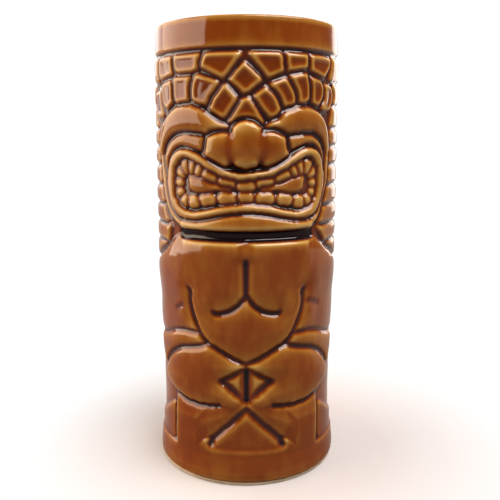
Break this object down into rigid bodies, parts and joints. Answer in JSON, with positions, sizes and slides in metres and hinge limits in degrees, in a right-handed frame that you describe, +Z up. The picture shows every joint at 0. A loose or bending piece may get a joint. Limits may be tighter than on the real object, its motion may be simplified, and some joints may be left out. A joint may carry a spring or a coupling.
{
  "type": "tiki mug",
  "caption": "Tall straight-sided glazed ceramic cocktail mug with a carved idol in relief round its wall, standing on a bare foot ring",
  "frame": {"origin": "centre of the foot ring, on the plane that the mug stands on", "axes": "+Z up along the mug's axis, out of its mouth; -Y the way the idol faces; +X to the right of somebody who looks it in the face"},
  "size_m": [0.0702, 0.0716, 0.165],
  "materials": {
    "amber_glaze": "glossy honey-amber glaze, golden on the edges and nearly black in the grooves",
    "bare_clay": "matte bare fired clay"
  },
  "bodies": {
    "root": {"arch_tile_left_1": "amber_glaze", "arch_tile_left_2": "amber_glaze", "arch_tile_left_3": "amber_glaze", "arch_tile_left_4": "amber_glaze", "arch_tile_left_5": "amber_glaze", "arch_tile_right_1": "amber_glaze", "arch_tile_right_2": "amber_glaze", "arch_tile_right_3": "amber_glaze", "arch_tile_right_4": "amber_glaze", "arch_tile_right_5": "amber_glaze", "arm_left": "amber_glaze", "arm_right": "amber_glaze", "back_hair_long_rows": "amber_glaze", "back_hair_short_rows": "amber_glaze", "base_band": "amber_glaze", "belly": "amber_glaze", "brow_left": "amber_glaze", "brow_right": "amber_glaze", "cheek_ridge_left": "amber_glaze", "cheek_ridge_right": "amber_glaze", "chest_left": "amber_glaze", "chest_right": "amber_glaze", "chin": "amber_glaze", "crown_diamond": "amber_glaze", "crown_tile_left_1": "amber_glaze", "crown_tile_left_2": "amber_glaze", "crown_tile_left_3": "amber_glaze", "crown_tile_right_1": "amber_glaze", "crown_tile_right_2": "amber_glaze", "crown_tile_right_3": "amber_glaze", "crown_triangle": "amber_glaze", "cup_body": "amber_glaze", "eyelid_left": "amber_glaze", "eyelid_right": "amber_glaze", "foot_left": "amber_glaze", "foot_right": "amber_glaze", "foot_ring": "bare_clay", "hand_left": "amber_glaze", "hand_right": "amber_glaze", "heel_left": "amber_glaze", "heel_right": "amber_glaze", "lips": "amber_glaze", "loincloth": "amber_glaze", "lower_teeth": "amber_glaze", "nose_bridge": "amber_glaze", "nostril_left": "amber_glaze", "nostril_right": "amber_glaze", "rim_band": "amber_glaze", "shin_left": "amber_glaze", "shin_right": "amber_glaze", "shoulder_blade_left": "amber_glaze", "shoulder_blade_right": "amber_glaze", "side_hair_left": "amber_glaze", "side_hair_right": "amber_glaze", "thigh_left": "amber_glaze", "thigh_right": "amber_glaze", "tongue_left": "amber_glaze", "tongue_right": "amber_glaze", "upper_teeth": "amber_glaze", "wedge_between_feet": "amber_glaze"}
  },
  "joints": []
}
